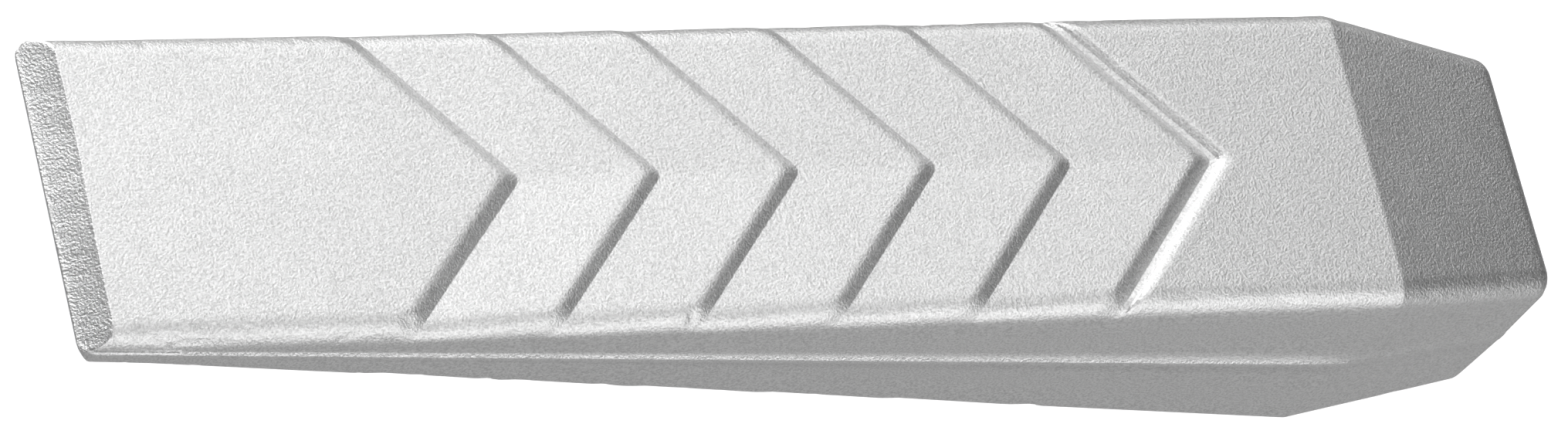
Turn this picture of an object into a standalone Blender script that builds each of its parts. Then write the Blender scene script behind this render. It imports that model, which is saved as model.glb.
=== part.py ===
"""Felling wedge: one solid drop forging in blast-finished aluminium.

A tapered bar with two broad driving faces. Each broad face carries six V-shaped barbs that
point at the head and stop the wedge from jumping back out of the cut. The head is chamfered on
all four sides down to a smaller striking face. A narrow trimmed flash land runs round both
edges where the two dies met.

The body is drawn on its own axis: X from the tip to the striking face, Y across the width,
Z through the thickness. It is then laid down on its lower broad face, at Z = 0.
"""

import math

import bmesh
import bpy
from mathutils import Matrix

# Driving dimensions, in metres and degrees
LENGTH = 0.2600
TIP_WIDTH = 0.0537
SHOULDER_WIDTH = 0.0551
FACE_WIDTH = 0.0446
FACE_THICKNESS = 0.0343
SHOULDER_X = 0.2265
HALF_ANGLE = math.radians(4.57)
HALF_THICKNESS_AT_TIP = 0.0042

TIP_BEVEL_LENGTH = 0.0045
TIP_BLUNT_THICKNESS = 0.0006
TIP_CORNER_RADIUS = 0.0028
EDGE_RADIUS = 0.0036
EDGE_RADIUS_SHARE = 0.8
STRIKING_EDGE_RADIUS = 0.0025

DRAFT = math.radians(1.5)
PARTING_HEIGHT = 0.0007
FLASH_PROUD = 0.0005
FLASH_PROUD_ON_HEAD = 0.0002
FLASH_OUTER_HEIGHT = 0.0009
FLASH_ROOT_HEIGHT = 0.0019

BARB_COUNT = 6
FIRST_TOE_X = 0.0775
BARB_PITCH = 0.0240
LAST_TOE_SHIFT = 0.0013
ARM_SWEEP = 0.883
CREST_LAND = 0.0005
BARB_DEPTH = 0.0011
BARB_RUN = 0.0028
FIRST_BARB_DEPTH = 0.0014
FIRST_BARB_RUN = 0.0035
LAST_BARB_DEPTH = 0.0014
LAST_BARB_RUN = 0.0033
LAST_GROOVE_FLOOR = (0.0013, 0.00032)
LAST_GROOVE_STEP = (0.0004, 0.00095)
LAST_GROOVE_RAMP = 0.0028

CUTTER_HEIGHT = 0.0005
CUTTER_REACH = 0.0400
TIP_STEPS = 4
STRIKING_EDGE_STEPS = 3
EDGE_STEPS = 4


def clear_scene():
    """Remove every object that the file opened with."""
    for item in list(bpy.data.objects):
        bpy.data.objects.remove(item, do_unlink=True)


def between(x, x0, value0, x1, value1):
    """The value at x on the straight line through two stations."""
    return value0 + (value1 - value0) * (x - x0) / (x1 - x0)


def nominal_half_thickness(x):
    """Half thickness between the two broad faces, before the head chamfer and the tip bevel."""
    return HALF_THICKNESS_AT_TIP + x * math.tan(HALF_ANGLE)


def half_thickness(x):
    """Half thickness of the finished bar at a station."""
    if x < TIP_BEVEL_LENGTH:
        inner = nominal_half_thickness(TIP_BEVEL_LENGTH)
        return between(x, 0.0, TIP_BLUNT_THICKNESS / 2, TIP_BEVEL_LENGTH, inner)
    if x > SHOULDER_X:
        shoulder = nominal_half_thickness(SHOULDER_X)
        return between(x, SHOULDER_X, shoulder, LENGTH, FACE_THICKNESS / 2)
    return nominal_half_thickness(x)


def half_width(x):
    """Half width at the parting line, without the flash land."""
    if x > SHOULDER_X:
        return between(x, SHOULDER_X, SHOULDER_WIDTH / 2, LENGTH, FACE_WIDTH / 2)
    return between(x, 0.0, TIP_WIDTH / 2, SHOULDER_X, SHOULDER_WIDTH / 2)


def side_profile(half_w, half_t, radius, flash):
    """Points (y, z) down the +Y side: rounded edge, drafted face, flash land, and the same below."""
    upper = []
    lower = []
    for direction, points in ((1, upper), (-1, lower)):
        parting = PARTING_HEIGHT * direction
        centre_z = half_t - radius
        rise = centre_z - parting
        centre_y = half_w - (rise * math.sin(DRAFT) + radius) / math.cos(DRAFT)
        for step in range(EDGE_STEPS + 1):
            angle = between(step, 0, math.pi / 2, EDGE_STEPS, DRAFT)
            y = centre_y + radius * math.cos(angle)
            z = centre_z + radius * math.sin(angle)
            points.append((y, z * direction))
    scale = min(1.0, half_t / FLASH_ROOT_HEIGHT)
    centre = PARTING_HEIGHT * scale
    root = FLASH_ROOT_HEIGHT / 2 * scale
    outer = FLASH_OUTER_HEIGHT / 2 * scale
    root_y = half_w - root * math.tan(DRAFT)
    land = [
        (root_y, centre + root),
        (half_w + flash, centre + outer),
        (half_w + flash, centre - outer),
        (root_y, centre - root),
    ]
    return upper + land + lower[::-1]


def stations():
    """Every section along the bar: (x, half width, half thickness, edge radius, flash height)."""
    found = []
    for step in range(TIP_STEPS + 1):
        angle = between(step, 0, 0.0, TIP_STEPS, math.pi / 2)
        x = TIP_CORNER_RADIUS * (1 - math.cos(angle))
        narrowing = TIP_CORNER_RADIUS * (1 - math.sin(angle))
        thickness = half_thickness(x)
        radius = thickness * EDGE_RADIUS_SHARE
        found.append((x, half_width(x) - narrowing, thickness, radius, FLASH_PROUD))
    for x in (TIP_BEVEL_LENGTH, SHOULDER_X):
        found.append((x, half_width(x), half_thickness(x), EDGE_RADIUS, FLASH_PROUD))
    for step in range(STRIKING_EDGE_STEPS + 1):
        angle = between(step, 0, 0.0, STRIKING_EDGE_STEPS, math.pi / 2)
        x = LENGTH - STRIKING_EDGE_RADIUS * (1 - math.sin(angle))
        inset = STRIKING_EDGE_RADIUS * (1 - math.cos(angle))
        width = half_width(x) - inset
        thickness = half_thickness(x) - inset
        found.append((x, width, thickness, EDGE_RADIUS - inset, FLASH_PROUD_ON_HEAD))
    return found


def make_bar():
    """Loft the sections into one closed bar."""
    shape = bmesh.new()
    rings = []
    for x, half_w, half_t, radius, flash in stations():
        right = side_profile(half_w, half_t, radius, flash)
        left = [(-y, z) for y, z in reversed(right)]
        rings.append([shape.verts.new((x, y, z)) for y, z in right + left])
    count = len(rings[0])
    for ring, following in zip(rings, rings[1:]):
        for i in range(count):
            j = (i + 1) % count
            shape.faces.new((ring[i], ring[j], following[j], following[i]))
    shape.faces.new(rings[0])
    shape.faces.new(rings[-1])
    bmesh.ops.triangulate(shape, faces=shape.faces[:])
    bmesh.ops.recalc_face_normals(shape, faces=shape.faces[:])
    mesh = bpy.data.meshes.new("wedge_body")
    shape.to_mesh(mesh)
    shape.free()
    return mesh


def barb_size(index):
    """Distance of one barb's toe along the face on the centre line, its depth and its wall's length."""
    toe = FIRST_TOE_X + index * BARB_PITCH
    depth, run = BARB_DEPTH, BARB_RUN
    if index == 0:
        depth, run = FIRST_BARB_DEPTH, FIRST_BARB_RUN
    if index == BARB_COUNT - 1:
        toe += LAST_TOE_SHIFT
        depth, run = LAST_BARB_DEPTH, LAST_BARB_RUN
    return toe / math.cos(HALF_ANGLE), depth, run


def barb_profile(index):
    """Cutter outline of one barb, as (distance along the face, height above the face).

    It falls down the wall that faces the head, and climbs back over a long shallow ramp to the
    next barb. Behind the last barb a short floor, a step and a ramp lead up to the plain head.
    """
    toe, depth, run = barb_size(index)
    if index == BARB_COUNT - 1:
        floor_end = toe + LAST_GROOVE_FLOOR[0]
        floor_height = LAST_GROOVE_FLOOR[1] - depth
        step_end = floor_end + LAST_GROOVE_STEP[0]
        step_height = floor_height + LAST_GROOVE_STEP[1]
        climb = [(toe, -depth), (floor_end, floor_height), (step_end, step_height)]
        foot_x, foot_height = step_end, step_height
        ramp_end = step_end + LAST_GROOVE_RAMP
    else:
        next_toe, _, next_run = barb_size(index + 1)
        climb = [(toe, -depth)]
        foot_x, foot_height = toe, -depth
        ramp_end = next_toe - next_run - CREST_LAND
    wall_top = toe - run * (1 + CUTTER_HEIGHT / depth)
    ramp_slope = -foot_height / (ramp_end - foot_x)
    ramp_top = ramp_end + CUTTER_HEIGHT / ramp_slope
    return [(wall_top, CUTTER_HEIGHT)] + climb + [(ramp_top, CUTTER_HEIGHT)]


def make_cutter(name, profile):
    """Sweep a barb's outline along both arms of its V, which meet on the centre line."""
    shape = bmesh.new()
    rings = []
    for y in (-CUTTER_REACH, 0.0, CUTTER_REACH):
        shift = ARM_SWEEP * abs(y)
        rings.append([shape.verts.new((s - shift, y, height)) for s, height in profile])
    count = len(profile)
    for ring, following in zip(rings, rings[1:]):
        for i in range(count):
            j = (i + 1) % count
            shape.faces.new((ring[i], ring[j], following[j], following[i]))
    shape.faces.new(rings[0])
    shape.faces.new(rings[-1])
    bmesh.ops.triangulate(shape, faces=shape.faces[:])
    bmesh.ops.recalc_face_normals(shape, faces=shape.faces[:])
    mesh = bpy.data.meshes.new(name)
    shape.to_mesh(mesh)
    shape.free()
    cutter = bpy.data.objects.new(name, mesh)
    bpy.context.scene.collection.objects.link(cutter)
    cutter.hide_render = True
    cutter.display_type = "WIRE"
    return cutter


def resting_placement(mesh):
    """Turn the bar on to its lower broad face and centre its outer box over the origin."""
    turn = Matrix.Rotation(-HALF_ANGLE, 4, "Y")
    reach = [(turn @ vertex.co).x for vertex in mesh.vertices]
    middle = (min(reach) + max(reach)) / 2
    lift = HALF_THICKNESS_AT_TIP * math.cos(HALF_ANGLE)
    return Matrix.Translation((-middle, 0.0, lift)) @ turn


def make_material():
    """Blasted aluminium: pale, matt and metallic."""
    material = bpy.data.materials.new("blasted_aluminium")
    material.use_nodes = True
    shader = material.node_tree.nodes["Principled BSDF"]
    shader.inputs["Base Color"].default_value = (0.72, 0.73, 0.74, 1.0)
    shader.inputs["Metallic"].default_value = 1.0
    shader.inputs["Roughness"].default_value = 0.55
    return material


def cut_barbs(body, placement):
    """Cut the six barbs into both broad faces."""
    face = Matrix.Translation((0.0, 0.0, HALF_THICKNESS_AT_TIP))
    face = face @ Matrix.Rotation(-HALF_ANGLE, 4, "Y")
    sides = (("upper", Matrix.Identity(4)), ("lower", Matrix.Rotation(math.pi, 4, "X")))
    for side, turn_over in sides:
        for index in range(BARB_COUNT):
            cutter = make_cutter(f"cut_{side}_{index + 1}", barb_profile(index))
            cutter.matrix_world = placement @ turn_over @ face
            cut = body.modifiers.new(cutter.name, "BOOLEAN")
            cut.operation = "DIFFERENCE"
            cut.solver = "EXACT"
            cut.object = cutter


def make_wedge():
    """Build the finished wedge, resting on its lower broad face."""
    mesh = make_bar()
    body = bpy.data.objects.new("wedge_body", mesh)
    bpy.context.scene.collection.objects.link(body)
    body.data.materials.append(make_material())
    placement = resting_placement(mesh)
    body.matrix_world = placement
    cut_barbs(body, placement)
    return body


clear_scene()
make_wedge()
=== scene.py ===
"""Looks for the felling wedge: the forged surface, its blasted aluminium, floor, lights and camera."""

import math

import bmesh
import bpy
import numpy as np
from mathutils import Matrix, Vector, noise


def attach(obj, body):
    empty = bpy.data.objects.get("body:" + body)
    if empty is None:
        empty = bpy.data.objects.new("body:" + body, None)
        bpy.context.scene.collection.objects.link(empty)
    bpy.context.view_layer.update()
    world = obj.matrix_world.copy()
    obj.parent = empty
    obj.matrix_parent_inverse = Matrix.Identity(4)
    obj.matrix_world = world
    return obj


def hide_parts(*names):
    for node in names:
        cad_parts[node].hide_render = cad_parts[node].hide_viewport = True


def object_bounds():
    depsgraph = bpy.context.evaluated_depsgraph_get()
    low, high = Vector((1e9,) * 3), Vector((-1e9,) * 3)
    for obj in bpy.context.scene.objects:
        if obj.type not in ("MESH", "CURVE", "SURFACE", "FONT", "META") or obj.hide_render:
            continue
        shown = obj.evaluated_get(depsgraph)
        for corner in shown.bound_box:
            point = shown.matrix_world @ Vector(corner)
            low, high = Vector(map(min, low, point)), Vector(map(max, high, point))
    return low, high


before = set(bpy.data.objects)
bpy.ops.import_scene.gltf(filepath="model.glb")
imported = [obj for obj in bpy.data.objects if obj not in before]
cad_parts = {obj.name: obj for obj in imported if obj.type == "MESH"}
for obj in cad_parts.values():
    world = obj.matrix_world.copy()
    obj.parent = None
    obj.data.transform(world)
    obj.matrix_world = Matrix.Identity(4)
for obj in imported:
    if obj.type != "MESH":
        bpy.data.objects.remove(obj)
cad_low, cad_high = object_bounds()

MM = 0.001

# The wedge, in millimetres and degrees, on its own axis: X from tip to striking face, Z through it
LENGTH = 260.0
TIP_WIDTH = 53.7
SHOULDER_WIDTH = 55.1
FACE_WIDTH = 44.6
FACE_THICKNESS = 34.3
SHOULDER_X = 226.5
HALF_ANGLE = math.radians(4.57)
HALF_THICKNESS_AT_TIP = 4.2
TIP_BEVEL_LENGTH = 4.5
TIP_BLUNT_THICKNESS = 0.35
TIP_CORNER_RADIUS = 2.4
BEVEL_BOW = 0.5
BEVEL_BOW_CENTRE, BEVEL_BOW_REACH = 8.0, 14.0
BEVEL_BOW_END = 12.0
EDGE_RADIUS = 3.95
EDGE_RADIUS_SHARE = 0.75
SHOULDER_SOFTNESS = 0.35
STRIKING_EDGE_RADIUS = 2.5
DRAFT = math.radians(1.5)
PARTING_HEIGHT = 0.7
PARTING_FULL_AT = 5.0  # half thickness of the bar
FLASH_PROUD = 0.45
FLASH_PROUD_ON_HEAD = 0.15
FLASH_FADE = (-8.0, 2.0)  # measured from the shoulder
FLASH_HALF_HEIGHT = 0.95
FLASH_HEIGHT_SHARE = 0.55

BARB_COUNT = 6
FIRST_TOE_X = 77.5
BARB_PITCH = 24.0
LAST_TOE_SHIFT = 1.3
ARM_SWEEP = 0.883
V_POINT_REACH = 1.2
CREST_LAND = 0.3
BARB_DEPTH, BARB_RUN = 1.1, 2.8
FIRST_BARB_DEPTH, FIRST_BARB_RUN = 1.4, 3.5
LAST_BARB_DEPTH, LAST_BARB_RUN = 1.4, 3.3
LAST_GROOVE_FLOOR = (1.3, 0.32)
LAST_GROOVE_STEP = (0.4, 0.95)
LAST_GROOVE_RAMP = 2.8
LAST_GROOVE_LIP = (0.4, 0.09)
LAST_GROOVE_FAR_RAMP = 0.4
CREST_SOFTNESS = 0.8
CREST_TAIL, CREST_TAIL_SHARE, CREST_TAIL_TAPS = 1.6, 0.4, 15
TOE_SOFTNESS = 0.1
TOE_BLEND_START, TOE_BLEND_GAIN = 0.2, 2.0
# How sharply the last barb's lip and all the grooves run out towards the rounded edges
LIP_RUNOUT, GROOVE_RUNOUT = 6, 1.5

# Unevenness left by forging, blasting and hammering: depth into the metal, then pattern size
FACE_WANDER, FACE_WANDER_SIZE = 0.04, 16.0
FLASH_WANDER, FLASH_WANDER_SIZE, FLASH_WANDER_ACROSS = 0.14, 2.6, 1.2
EDGE_CHIP, EDGE_CHIP_SIZE, EDGE_CHIP_ACROSS, EDGE_CHIP_LEVEL = 0.6, 3.0, 2.0, 0.3
GROUND_WANDER, GROUND_LENGTH, GROUND_WIDTH = 0.16, 9.0, 1.6
GROUND_SLANT, GROUND_FADE = 0.15, 8
STRIKE_DENT, STRIKE_DENT_SIZE = 0.25, 7.0
# Laps in the nose of the near edge: first and last station, place round the edge, wave, depth, width
LAPS = (
    (7.0, 17.0, 3.3, 0.75, 0.4, 0.22),
    (11.0, 24.0, 4.2, 0.6, 0.3, 0.2),
)
LAP_WAVE_SIZE = 2.5
LAP_FADE = 2.5
# Offsets that make one pattern differ from the next: by half, by side, by bevel
FACE_SEED, EDGE_SEED, EDGE_SIDE_SEED, FLASH_SEED, GROUND_SEED = 3.0, 5.0, 9.0, 7.0, 2.0

# How finely the surface is divided round one section
TOP_CELLS = 60
TOP_CROWDING = 1.25
ROUND_CELLS = 12
SIDE_CELLS = 5
FLASH_CELLS = 6

# Spacing of the rings along the wedge, and how far each close stretch of them reaches
NOSE_STEP, BEVEL_STEP, LAP_STEP, PLAIN_STEP = 0.12, 0.3, 0.4, 0.7
CREST_STEP, WALL_STEP, TOE_STEP = 0.24, 0.35, 0.1
RAMP_STEP, FACE_STEP, HEAD_STEP = 0.16, 1.5, 1.2
NOSE_END, LAPS_END = 0.6, 26.0
BEVEL_CREASE = 0.08
CREST_APPROACH, CREST_DEPARTURE = 1.9, 0.8
TOE_REACH, RAMP_REACH, SHOULDER_REACH = 0.3, 0.6, 0.8
STRIKING_EDGE_STEPS = 10
SWEEP_MARGIN = 2
SWEEP_PASSES = 4

# Rings that close the striking face, each as a share of the one before
STRIKE_SHRINKS = (0.96, 0.95, 0.94, 0.93, 0.92, 0.9, 0.88, 0.85, 0.8, 0.7, 0.5)

# Metal: pattern repeats per metre, depths in metres, and reflectance
GRAIN_SCALE, GRAIN_DEPTH = 2500.0, 0.00014
PIT_SCALE, PIT_DEPTH, PIT_RADIUS = 1500.0, 0.00002, 0.45
CLOUD_SCALE = 90.0
STREAK_SCALE, STREAK_DEPTH = (300.0, 1500.0, 300.0), 0.00006
TONE_LOW, TONE_HIGH = 0.965, 0.99
SPECK_TONE, SPECK_FROM, SPECK_TO = 0.74, 0.35, 0.6
TRIMMED_LIFT = 0.06
ROUGHNESS, ROUGHNESS_SPREAD = 0.47, 0.02
TRIMMED_SMOOTHER = 0.06
NOISE_LOW, NOISE_HIGH = 0.3, 0.7
WHITE = (1.0, 1.0, 1.0, 1.0)

CAMERA_PLACE = (-0.82078, -0.62588, 1.09688)
CAMERA_TURN = (33.025, -30.224, -14.910)
CAMERA_LENS = 215.6
SENSOR_WIDTH = 36.0
CLIP_START, CLIP_END = 0.05, 20.0

FLOOR_REACH = 3.0
FLOOR_GAP = 0.0002
FLOOR_COLOUR = (0.9, 0.9, 0.9, 1.0)
FLOOR_ROUGHNESS = 0.9
FLOOR_GLOW = 0.8

# Name, azimuth and elevation in degrees, distance and size in metres, brightness
PANELS = (
    ("overhead", 188.0, 81.0, 0.8, (0.630, 0.800), 1.20),
    ("front", 15.6, 30.2, 0.7, (0.780, 0.810), 1.37),
    ("back_right", 156.0, 36.5, 0.8, (0.620, 0.250), 2.00),
    ("back_left", 220.0, 40.1, 0.8, (0.325, 0.418), 2.90),
    ("low_back", 204.5, 16.5, 0.8, (0.487, 0.430), 4.60),
    ("fill", 319.0, 14.0, 0.8, (0.508, 0.380), 1.30),
)
POWER_PER_BRIGHTNESS = math.pi
LIGHT_TARGET = (0.0, 0.0, 0.02)
HORIZON_SOFTNESS = 0.06
WORLD_ABOVE = 0.003
WORLD_BELOW = 0.325


def between(x, x0, value0, x1, value1):
    """The value at x on the straight line through two stations."""
    return value0 + (value1 - value0) * (x - x0) / (x1 - x0)


def softened(function, x, reach, taps=7):
    """A function of x with its corners rounded over plus and minus the reach."""
    offsets = np.linspace(-reach, reach, taps)
    return sum(function(x + offset) for offset in offsets) / taps


def nominal_half_thickness(x):
    """Half thickness between the two broad faces, before the head chamfer and the tip bevel."""
    return HALF_THICKNESS_AT_TIP + x * math.tan(HALF_ANGLE)


def half_thickness(x):
    """Half thickness of the bar at each station, before the tip bevel."""
    shoulder = nominal_half_thickness(SHOULDER_X)
    knots = (0.0, SHOULDER_X, LENGTH)
    values = (HALF_THICKNESS_AT_TIP, shoulder, FACE_THICKNESS / 2)
    return np.interp(x, knots, values)


def half_width(x):
    """Half width at the parting line, without the flash land."""
    knots = (0.0, SHOULDER_X, LENGTH)
    values = (TIP_WIDTH / 2, SHOULDER_WIDTH / 2, FACE_WIDTH / 2)
    return np.interp(x, knots, values)


def quarter_round(distance, radius):
    """How far a rounded edge has drawn in at a distance from the end of the bar."""
    depth = np.clip(1 - distance / radius, 0, 1)
    return radius * (1 - np.sqrt(1 - depth**2))


def barb_sizes(index):
    """Toe station, depth and wall run of one barb, on the centre line."""
    toe = FIRST_TOE_X + index * BARB_PITCH
    if index == 0:
        return toe, FIRST_BARB_DEPTH, FIRST_BARB_RUN
    if index == BARB_COUNT - 1:
        return toe + LAST_TOE_SHIFT, LAST_BARB_DEPTH, LAST_BARB_RUN
    return toe, BARB_DEPTH, BARB_RUN


def barb_knots(near):
    """The sawtooth of the barbs along the centre line: (station, depth below the broad face).

    The near arm of the last barb ends in a wide ramp with a slight lip, the far arm in a narrow one.
    """
    knots = []
    for index in range(BARB_COUNT):
        toe, depth, run = barb_sizes(index)
        knots += [(toe - run - CREST_LAND, 0.0), (toe - run, 0.0), (toe, depth)]
    floor_end = toe + LAST_GROOVE_FLOOR[0]
    floor_depth = depth - LAST_GROOVE_FLOOR[1]
    step_end = floor_end + LAST_GROOVE_STEP[0]
    step_depth = floor_depth - LAST_GROOVE_STEP[1]
    knots += [(floor_end, floor_depth), (step_end, step_depth)]
    if near:
        lip = step_end + LAST_GROOVE_RAMP
        return knots + [(lip, -LAST_GROOVE_LIP[1]), (lip + LAST_GROOVE_LIP[0], 0.0)]
    return knots + [(step_end + LAST_GROOVE_FAR_RAMP, 0.0)]


NEAR_KNOTS, FAR_KNOTS = barb_knots(True), barb_knots(False)
FIRST_CREST = NEAR_KNOTS[0][0]
LAST_RAMP_END = NEAR_KNOTS[-1][0]


def soft_depth(knots, station, reach, taps=7):
    """Depth of the barbs below the broad face, with corners rounded over plus and minus the reach."""
    stations, depths = np.array(knots).T
    return softened(lambda place: np.interp(place, stations, depths), station, reach, taps)


def arm_offset(y):
    """How far a barb has swept back at y. The point of its V is rounded."""
    reach = np.abs(y)
    rounded = (reach**2 / V_POINT_REACH + V_POINT_REACH) / 2
    return ARM_SWEEP * np.where(reach < V_POINT_REACH, rounded, reach)


def arm_depth(knots, station):
    """Depth along one arm of the barbs: soft crests, a slight sag ahead of each crest, and crisp toes."""
    crest = soft_depth(knots, station, CREST_SOFTNESS)
    tail = soft_depth(knots, station, CREST_TAIL, CREST_TAIL_TAPS)
    toe = soft_depth(knots, station, TOE_SOFTNESS)
    crest = between(CREST_TAIL_SHARE, 0, crest, 1, tail)
    weight = np.clip((toe / BARB_DEPTH - TOE_BLEND_START) * TOE_BLEND_GAIN, 0, 1)
    return between(weight, 0, crest, 1, toe)


def groove_depth(x, y, direction):
    """Depth of the barbs in the upper (1) or lower (-1) face. The lip stays off the lower one."""
    station = x + arm_offset(y)
    near, far = arm_depth(NEAR_KNOTS, station), arm_depth(FAR_KNOTS, station)
    depth = np.where(y * direction < 0, near, far)
    return depth if direction == 1 else np.maximum(depth, 0)


def spread(start, stop, step):
    """Stations from start to just before stop, about a step apart."""
    count = max(1, round((stop - start) / step))
    return list(np.linspace(start, stop, count, endpoint=False))


def ring_stations():
    """Centre-line stations of every ring: close at the barbs, bevel and rounded ends."""
    bevel = TIP_BEVEL_LENGTH
    found = spread(0.0, NOSE_END, NOSE_STEP)
    found += spread(NOSE_END, bevel - BEVEL_CREASE, BEVEL_STEP)
    found += [bevel - BEVEL_CREASE, bevel, bevel + BEVEL_CREASE]
    found += spread(bevel + BEVEL_STEP, LAPS_END, LAP_STEP)
    found += spread(LAPS_END, FIRST_CREST - CREST_APPROACH, PLAIN_STEP)
    for index in range(BARB_COUNT):
        toe, _, run = barb_sizes(index)
        crest = toe - run
        found += spread(crest - CREST_LAND - CREST_APPROACH, crest + CREST_DEPARTURE, CREST_STEP)
        found += spread(crest + CREST_DEPARTURE, toe - TOE_REACH, WALL_STEP)
        found += spread(toe - TOE_REACH, toe + TOE_REACH, TOE_STEP)
        if index < BARB_COUNT - 1:
            next_toe, _, next_run = barb_sizes(index + 1)
            next_start = next_toe - next_run - CREST_LAND - CREST_APPROACH
            found += spread(toe + TOE_REACH, next_start, FACE_STEP)
    found += spread(toe + TOE_REACH, LAST_RAMP_END + RAMP_REACH, RAMP_STEP)
    found += spread(LAST_RAMP_END + RAMP_REACH, SHOULDER_X - SHOULDER_REACH, HEAD_STEP)
    found += spread(SHOULDER_X - SHOULDER_REACH, SHOULDER_X + SHOULDER_REACH, RAMP_STEP)
    found += spread(SHOULDER_X + SHOULDER_REACH, LENGTH - STRIKING_EDGE_RADIUS, HEAD_STEP)
    for step in range(STRIKING_EDGE_STEPS + 1):
        angle = between(step, 0, 0.0, STRIKING_EDGE_STEPS, math.pi / 2)
        found.append(LENGTH - STRIKING_EDGE_RADIUS * (1 - math.sin(angle)))
    return np.array(found)


def ring_sweep(station):
    """How much of the barbs' sweep each ring takes, so that rings follow the arms of the barbs."""
    full_from, full_to = FIRST_CREST - SWEEP_MARGIN, LAST_RAMP_END + SWEEP_MARGIN
    knots = (BEVEL_BOW_END, full_from, full_to, SHOULDER_X - SWEEP_MARGIN)
    return np.interp(station, knots, (0.0, 1.0, 1.0, 0.0))


def ring_bow(station, y):
    """How far a ring near the tip is pushed back, because the bevel was ground a little unevenly."""
    hump = BEVEL_BOW * np.exp(-(((y - BEVEL_BOW_CENTRE) / BEVEL_BOW_REACH) ** 2))
    share = np.interp(station, (0.0, TIP_BEVEL_LENGTH, BEVEL_BOW_END), (0.0, 1.0, 0.0))
    return hump * share


class Section:
    """Positions round a ring, worked out column by column for every ring at once."""

    def __init__(self, x):
        inset = quarter_round(LENGTH - x, STRIKING_EDGE_RADIUS)
        corner = quarter_round(x, TIP_CORNER_RADIUS)
        self.half_w = half_width(x) - corner - inset
        self.half_t = softened(half_thickness, x, SHOULDER_SOFTNESS) - inset
        limit = EDGE_RADIUS_SHARE * self.half_t
        self.radius = np.minimum(EDGE_RADIUS - inset, limit)
        self.flash = np.interp(x - SHOULDER_X, FLASH_FADE, (FLASH_PROUD, FLASH_PROUD_ON_HEAD))
        self.root = np.minimum(FLASH_HALF_HEIGHT, FLASH_HEIGHT_SHARE * self.half_t)
        self.parting = PARTING_HEIGHT * np.minimum(1, self.half_t / PARTING_FULL_AT)

    def edge_centre(self, direction):
        """Centre of the rounded edge of the upper (1) or lower (-1) half."""
        centre_z = self.half_t - self.radius
        rise = centre_z - self.parting * direction
        centre_y = self.half_w - (rise * math.sin(DRAFT) + self.radius) / math.cos(DRAFT)
        return centre_y, centre_z

    def rounding(self, direction, share):
        """A point on the rounded edge: share 0 at the broad face, 1 at the side."""
        centre_y, centre_z = self.edge_centre(direction)
        angle = between(share, 0, math.pi / 2, 1, DRAFT)
        y = centre_y + self.radius * math.cos(angle)
        z = centre_z + self.radius * math.sin(angle)
        return y, z * direction

    def side(self, direction, share):
        """A point on the drafted side: share 0 at the rounded edge, 1 at the flash land."""
        y0, z0 = self.rounding(direction, 1.0)
        z1 = self.parting + self.root * direction
        y1 = self.half_w - self.root * math.tan(DRAFT)
        return between(share, 0, y0, 1, y1), between(share, 0, z0, 1, z1)

    def land(self, share):
        """A point on the rounded flash land: share 0 at its top, 1 at its foot."""
        across = 1 - 2 * share
        y = self.half_w - abs(across) * self.root * math.tan(DRAFT)
        bulge = max(0.0, 1 - across**4) ** 0.5
        return y + self.flash * bulge, self.parting + self.root * across


def perimeter():
    """Every column of a ring, going round from the middle of the top: (kind, direction, side, share)."""
    shares = [(i / TOP_CELLS * 2) ** TOP_CROWDING for i in range(TOP_CELLS // 2 + 1)]
    right = [("face", 1, 1, share) for share in shares[:-1]]
    right += [("round", 1, 1, i / ROUND_CELLS) for i in range(ROUND_CELLS)]
    right += [("side", 1, 1, i / SIDE_CELLS) for i in range(SIDE_CELLS)]
    right += [("land", 1, 1, i / FLASH_CELLS) for i in range(FLASH_CELLS)]
    right += [("side", -1, 1, 1 - i / SIDE_CELLS) for i in range(SIDE_CELLS)]
    right += [("round", -1, 1, 1 - i / ROUND_CELLS) for i in range(ROUND_CELLS)]
    right += [("face", -1, 1, share) for share in shares[:0:-1]]
    end = [("face", -1, 1, 0.0)]
    left = [(kind, direction, -1, share) for kind, direction, _, share in reversed(right[1:])]
    return right + end + left


def column(section, entry):
    """The y and z of one column on every ring."""
    kind, direction, side, share = entry
    if kind == "face":
        centre_y, _ = section.edge_centre(direction)
        y, z = centre_y * share, section.half_t * direction
    elif kind == "round":
        y, z = section.rounding(direction, share)
    elif kind == "side":
        y, z = section.side(direction, share)
    else:
        y, z = section.land(share)
    return y * side, z


def noise_at(x, y, z):
    """Smooth noise from 0 to 1 for arrays of places given in pattern sizes."""
    places = np.stack(np.broadcast_arrays(x, y, z), axis=-1)
    return np.array([noise.noise(place) for place in places]) * 0.5 + 0.5


def lap_depth(x, round_place):
    """Depth of the laps in the near edge, at a distance round it from the broad face."""
    depth = np.zeros(len(x))
    for start, end, centre, wave, deep, width in LAPS:
        line = centre + wave * (noise_at(x / LAP_WAVE_SIZE, centre, 0.0) * 2 - 1)
        fade = np.clip(np.minimum(x - start, end - x) / LAP_FADE, 0, 1)
        depth += deep * fade * np.exp(-(((round_place - line) / width) ** 2))
    return depth


def face_wander(x, y, direction):
    """Depth of the slow unevenness of the upper (1) or lower (-1) face."""
    return FACE_WANDER * noise_at(x / FACE_WANDER_SIZE, y / FACE_WANDER_SIZE, direction * FACE_SEED)


def edge_depth(x, y, direction, side, share):
    """How far one column of a rounded edge lies under its smooth shape: wander, chips and laps."""
    pattern = direction * EDGE_SEED + side * EDGE_SIDE_SEED
    along = noise_at(x / EDGE_CHIP_SIZE, share * EDGE_CHIP_ACROSS, pattern)
    chip = EDGE_CHIP * np.maximum(0, along * 2 - 1 - EDGE_CHIP_LEVEL) * math.sin(math.pi * share)
    depth = chip + face_wander(x, y, direction)
    if direction == 1 and side == -1:
        depth = depth + lap_depth(x, share * EDGE_RADIUS * math.pi / 2)
    return depth


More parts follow.
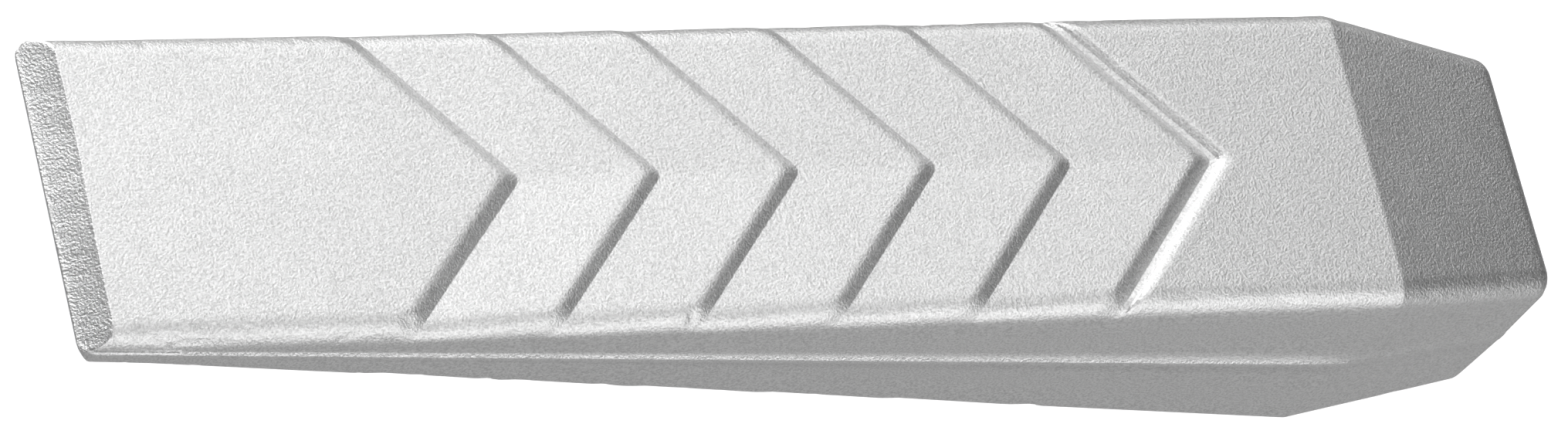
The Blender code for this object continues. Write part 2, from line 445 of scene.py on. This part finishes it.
def roughen(entry, x, y, z):
    """Push one column of the skin into the metal by its unevenness."""
    kind, direction, side, share = entry
    if kind == "face":
        return y, z - direction * face_wander(x, y, direction)
    if kind == "round":
        depth = edge_depth(x, y, direction, side, share)
        angle = share * math.pi / 2
        return y - side * depth * math.sin(angle), z - direction * depth * math.cos(angle)
    if kind == "land":
        wander = noise_at(x / FLASH_WANDER_SIZE, share * FLASH_WANDER_ACROSS, side * FLASH_SEED)
        return y - side * FLASH_WANDER * wander * math.sin(math.pi * share), z
    return y, z


def grind_tip(station, x, y, z):
    """Cut the tip down to its two ground bevels, with grinding marks along them."""
    edge = nominal_half_thickness(x)
    share = np.clip(station / TIP_BEVEL_LENGTH, 0, 1)
    limit = between(share, 0, TIP_BLUNT_THICKNESS / 2, 1, edge)
    across = (y + x * GROUND_SLANT) / GROUND_WIDTH
    marks = noise_at(x / GROUND_LENGTH, across, np.sign(z) * GROUND_SEED)
    fade = np.clip(np.minimum(share, 1 - share) * GROUND_FADE, 0, 1)
    limit = np.where(share < 1, limit - GROUND_WANDER * marks * fade, np.inf)
    return np.clip(z, -limit, limit)


def surface_grid():
    """Points of the whole skin, ring by ring, on the wedge's own axis."""
    stations = ring_stations()
    sweep = ring_sweep(stations)
    columns = perimeter()
    grid = np.zeros((len(stations), len(columns), 3))
    for j, entry in enumerate(columns):
        kind, direction, _, share = entry
        x = stations
        for _ in range(SWEEP_PASSES):
            y, z = column(Section(x), entry)
            x = stations - sweep * arm_offset(y) + ring_bow(stations, y)
        depth = groove_depth(x, y, direction)
        if kind == "face":
            z = z - direction * np.where(depth < 0, depth * (1 - share**LIP_RUNOUT), depth)
        if kind == "round":
            z = z - direction * np.maximum(depth, 0) * (1 - share**GROOVE_RUNOUT)
        y, z = roughen(entry, x, y, z)
        z = grind_tip(stations, x, y, z)
        grid[:, j] = np.stack([x, y, z], axis=1)
    return grid


def bridge(shape, ring, following):
    """Join two rings with four-sided faces."""
    count = len(ring)
    for i in range(count):
        j = (i + 1) % count
        shape.faces.new((ring[i], ring[j], following[j], following[i]))


def add_cap(shape, ring, centre, shrinks, dent):
    """Close an end with smaller and smaller copies of its ring, hammered in by up to the dent."""
    for shrink in shrinks:
        inner = []
        for vertex in ring:
            place = centre + (vertex.co - centre) * shrink
            inner.append(shape.verts.new(place))
        bridge(shape, ring, inner)
        ring = inner
        if dent:
            for vertex in ring:
                mark = noise.noise(vertex.co / STRIKE_DENT_SIZE) * 0.5 + 0.5
                vertex.co.x = centre.x - dent * mark
    shape.faces.new(ring)


def mark_surface(mesh, columns, ring_count):
    """Note on each point how far it is ground bevel (at the tip) or trimmed flash land."""
    ground = np.zeros(len(mesh.vertices))
    trimmed = np.zeros(len(mesh.vertices))
    land = np.zeros(len(columns))
    for j, (kind, _, _, share) in enumerate(columns):
        if kind == "land":
            land[j] = math.sin(math.pi * share) ** 0.5
    on_bevel = np.clip((TIP_BEVEL_LENGTH - ring_stations()) / BEVEL_CREASE, 0, 1)
    count = ring_count * len(columns)
    ground[:count] = np.repeat(on_bevel, len(columns))
    trimmed[:count] = np.tile(land, ring_count) * (1 - ground[:count])
    for name, values in (("ground", ground), ("trimmed", trimmed)):
        layer = mesh.attributes.new(name, "FLOAT", "POINT")
        layer.data.foreach_set("value", values.astype(np.float32))


def lay_down(mesh):
    """Turn the wedge on to its lower broad face, in metres, centred on the CAD model's box."""
    mesh.transform(Matrix.Rotation(-HALF_ANGLE, 4, "Y"))
    mesh.transform(Matrix.Scale(MM, 4))
    lift = HALF_THICKNESS_AT_TIP * math.cos(HALF_ANGLE) * MM
    low_x, high_x = cad_low[0], cad_high[0]
    places = np.empty(len(mesh.vertices) * 3)
    mesh.vertices.foreach_get("co", places)
    reach = places.reshape(-1, 3)[:, 0]
    slack = (high_x - low_x) - (reach.max() - reach.min())
    mesh.transform(Matrix.Translation((high_x - slack / 2 - reach.max(), 0.0, lift)))


def make_wedge():
    """The whole forging as one closed skin."""
    grid = surface_grid()
    shape = bmesh.new()
    rings = []
    for row in grid:
        rings.append([shape.verts.new(point) for point in row])
    for ring, following in zip(rings, rings[1:]):
        bridge(shape, ring, following)
    add_cap(shape, rings[0], Vector((0.0, 0.0, 0.0)), (0.5,), 0.0)
    add_cap(shape, rings[-1], Vector((LENGTH, 0.0, 0.0)), STRIKE_SHRINKS, STRIKE_DENT)
    bmesh.ops.recalc_face_normals(shape, faces=shape.faces[:])
    mesh = bpy.data.meshes.new("forged_wedge")
    shape.to_mesh(mesh)
    shape.free()
    mesh.shade_smooth()
    mark_surface(mesh, perimeter(), len(grid))
    lay_down(mesh)
    wedge = bpy.data.objects.new("forged_wedge", mesh)
    bpy.context.scene.collection.objects.link(wedge)
    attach(wedge, "root")
    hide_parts("wedge_body")
    return wedge


def add_node(tree, kind, **values):
    """A shader node with its inputs set by name, where an underscore stands for a space."""
    item = tree.nodes.new(kind)
    for name, value in values.items():
        item.inputs[name.replace("_", " ")].default_value = value
    return item


def scaled_texture(tree, kind, scale, **values):
    """A texture of the metal's own coordinates, in pattern repeats per metre along X, Y and Z."""
    place = tree.nodes.new("ShaderNodeTexCoord")
    stretch = add_node(tree, "ShaderNodeMapping", Scale=scale)
    texture = add_node(tree, kind, Scale=1.0, **values)
    tree.links.new(place.outputs["Object"], stretch.inputs["Vector"])
    tree.links.new(stretch.outputs["Vector"], texture.inputs["Vector"])
    return texture


def mapped(tree, source, low, high, from_low=NOISE_LOW, from_high=NOISE_HIGH):
    """A value stretched to run from low to high."""
    spread_out = add_node(tree, "ShaderNodeMapRange", From_Min=from_low, From_Max=from_high)
    spread_out.inputs["To Min"].default_value = low
    spread_out.inputs["To Max"].default_value = high
    tree.links.new(source, spread_out.inputs["Value"])
    return spread_out.outputs["Result"]


def combined(tree, operation, first, second):
    """Two values joined by a sum, a product or another operation."""
    joint = tree.nodes.new("ShaderNodeMath")
    joint.operation = operation
    for socket, value in zip(joint.inputs, (first, second)):
        if isinstance(value, float):
            socket.default_value = value
        else:
            tree.links.new(value, socket)
    return joint.outputs["Value"]


def marked(tree, name):
    """A value noted on the mesh's points."""
    layer = tree.nodes.new("ShaderNodeAttribute")
    layer.attribute_name = name
    return layer.outputs["Fac"]


def add_bump(tree, height, depth, normal=None):
    """Relief of a given depth in metres, on top of any relief before it."""
    bump = add_node(tree, "ShaderNodeBump", Distance=depth, Strength=1.0)
    tree.links.new(height, bump.inputs["Height"])
    if normal:
        tree.links.new(normal, bump.inputs["Normal"])
    return bump.outputs["Normal"]


def make_metal():
    """Blasted aluminium: fine grain and pits, cloudy tone, a ground tip and brighter trimmed flash."""
    material = bpy.data.materials.new("blasted_aluminium")
    material.use_nodes = True
    tree = material.node_tree
    shader = tree.nodes["Principled BSDF"]
    shader.inputs["Metallic"].default_value = 1.0

    grain = scaled_texture(tree, "ShaderNodeTexNoise", (GRAIN_SCALE,) * 3, Detail=2.0, Roughness=0.6)
    pits = scaled_texture(tree, "ShaderNodeTexVoronoi", (PIT_SCALE,) * 3)
    clouds = scaled_texture(tree, "ShaderNodeTexNoise", (CLOUD_SCALE,) * 3, Detail=3.0)
    streak_look = {"Detail": 4.0, "Roughness": 0.6, "Distortion": 0.4}
    streaks = scaled_texture(tree, "ShaderNodeTexNoise", STREAK_SCALE, **streak_look)
    ground, trimmed = marked(tree, "ground"), marked(tree, "trimmed")

    pit = mapped(tree, pits.outputs["Distance"], 0.0, 1.0, 0.0, PIT_RADIUS)
    normal = add_bump(tree, grain.outputs["Fac"], GRAIN_DEPTH)
    normal = add_bump(tree, pit, PIT_DEPTH, normal)
    scratch = combined(tree, "MULTIPLY", streaks.outputs["Fac"], ground)
    normal = add_bump(tree, scratch, STREAK_DEPTH, normal)
    tree.links.new(normal, shader.inputs["Normal"])

    tone = mapped(tree, clouds.outputs["Fac"], TONE_LOW, TONE_HIGH)
    speck = mapped(tree, grain.outputs["Fac"], SPECK_TONE, 1.0, SPECK_FROM, SPECK_TO)
    tone = combined(tree, "MULTIPLY", tone, speck)
    lift = combined(tree, "MULTIPLY", trimmed, TRIMMED_LIFT)
    tone = combined(tree, "ADD", tone, lift)
    colour = tree.nodes.new("ShaderNodeCombineColor")
    for channel in ("Red", "Green", "Blue"):
        tree.links.new(tone, colour.inputs[channel])
    tree.links.new(colour.outputs["Color"], shader.inputs["Base Color"])

    roughest, smoothest = ROUGHNESS + ROUGHNESS_SPREAD, ROUGHNESS - ROUGHNESS_SPREAD
    rough = mapped(tree, clouds.outputs["Fac"], roughest, smoothest)
    smoother = combined(tree, "MULTIPLY", trimmed, -TRIMMED_SMOOTHER)
    rough = combined(tree, "ADD", rough, smoother)
    tree.links.new(rough, shader.inputs["Roughness"])
    return material


def make_floor():
    """A pale, matt floor. The metal reflects the world's softer lower half instead of it."""
    mesh = bpy.data.meshes.new("floor")
    signs = ((-1, -1), (1, -1), (1, 1), (-1, 1))
    corners = [(x * FLOOR_REACH, y * FLOOR_REACH, -FLOOR_GAP) for x, y in signs]
    mesh.from_pydata(corners, [], [(0, 1, 2, 3)])
    floor = bpy.data.objects.new("floor", mesh)
    bpy.context.scene.collection.objects.link(floor)
    material = bpy.data.materials.new("pale_floor")
    material.use_nodes = True
    shader = material.node_tree.nodes["Principled BSDF"]
    shader.inputs["Base Color"].default_value = FLOOR_COLOUR
    shader.inputs["Roughness"].default_value = FLOOR_ROUGHNESS
    shader.inputs["Specular IOR Level"].default_value = 0.0
    shader.inputs["Emission Color"].default_value = WHITE
    shader.inputs["Emission Strength"].default_value = FLOOR_GLOW
    floor.data.materials.append(material)
    floor.visible_glossy = False
    floor.visible_shadow = False


def make_camera():
    """The camera: high above the near corner of the tip, looking down at the wedge."""
    data = bpy.data.cameras.new("camera")
    data.lens = CAMERA_LENS
    data.sensor_width = SENSOR_WIDTH
    data.clip_start = CLIP_START
    data.clip_end = CLIP_END
    camera = bpy.data.objects.new("camera", data)
    camera.location = CAMERA_PLACE
    camera.rotation_euler = [math.radians(angle) for angle in CAMERA_TURN]
    bpy.context.scene.collection.objects.link(camera)
    bpy.context.scene.camera = camera


def make_panel(name, azimuth, elevation, distance, size, brightness):
    """A softbox that looks at the wedge. Azimuth 0 is in front (-Y) and 90 is at the head (+X)."""
    data = bpy.data.lights.new(name, "AREA")
    data.shape = "RECTANGLE"
    data.size, data.size_y = size
    data.energy = POWER_PER_BRIGHTNESS * brightness * size[0] * size[1]
    light = bpy.data.objects.new(name, data)
    across, up = math.radians(azimuth), math.radians(elevation)
    flat = distance * math.cos(up)
    light.location = (flat * math.sin(across), -flat * math.cos(across), distance * math.sin(up))
    direction = Vector(LIGHT_TARGET) - light.location
    light.rotation_euler = direction.to_track_quat("-Z", "Y").to_euler()
    bpy.context.scene.collection.objects.link(light)


def make_world():
    """A dark studio above the floor's level and an even pale grey below it."""
    world = bpy.data.worlds.new("studio")
    world.use_nodes = True
    tree = world.node_tree
    background = tree.nodes["Background"]
    background.inputs["Color"].default_value = WHITE
    place = tree.nodes.new("ShaderNodeTexCoord")
    split = tree.nodes.new("ShaderNodeSeparateXYZ")
    level = tree.nodes.new("ShaderNodeMapRange")
    level.inputs["From Min"].default_value = -HORIZON_SOFTNESS
    level.inputs["From Max"].default_value = HORIZON_SOFTNESS
    level.inputs["To Min"].default_value = WORLD_BELOW
    level.inputs["To Max"].default_value = WORLD_ABOVE
    tree.links.new(place.outputs["Generated"], split.inputs["Vector"])
    tree.links.new(split.outputs["Z"], level.inputs["Value"])
    tree.links.new(level.outputs["Result"], background.inputs["Strength"])
    bpy.context.scene.world = world


wedge = make_wedge()
wedge.data.materials.append(make_metal())
make_floor()
make_camera()
make_world()
for panel in PANELS:
    make_panel(*panel)
bpy.context.scene.view_settings.view_transform = "Standard"
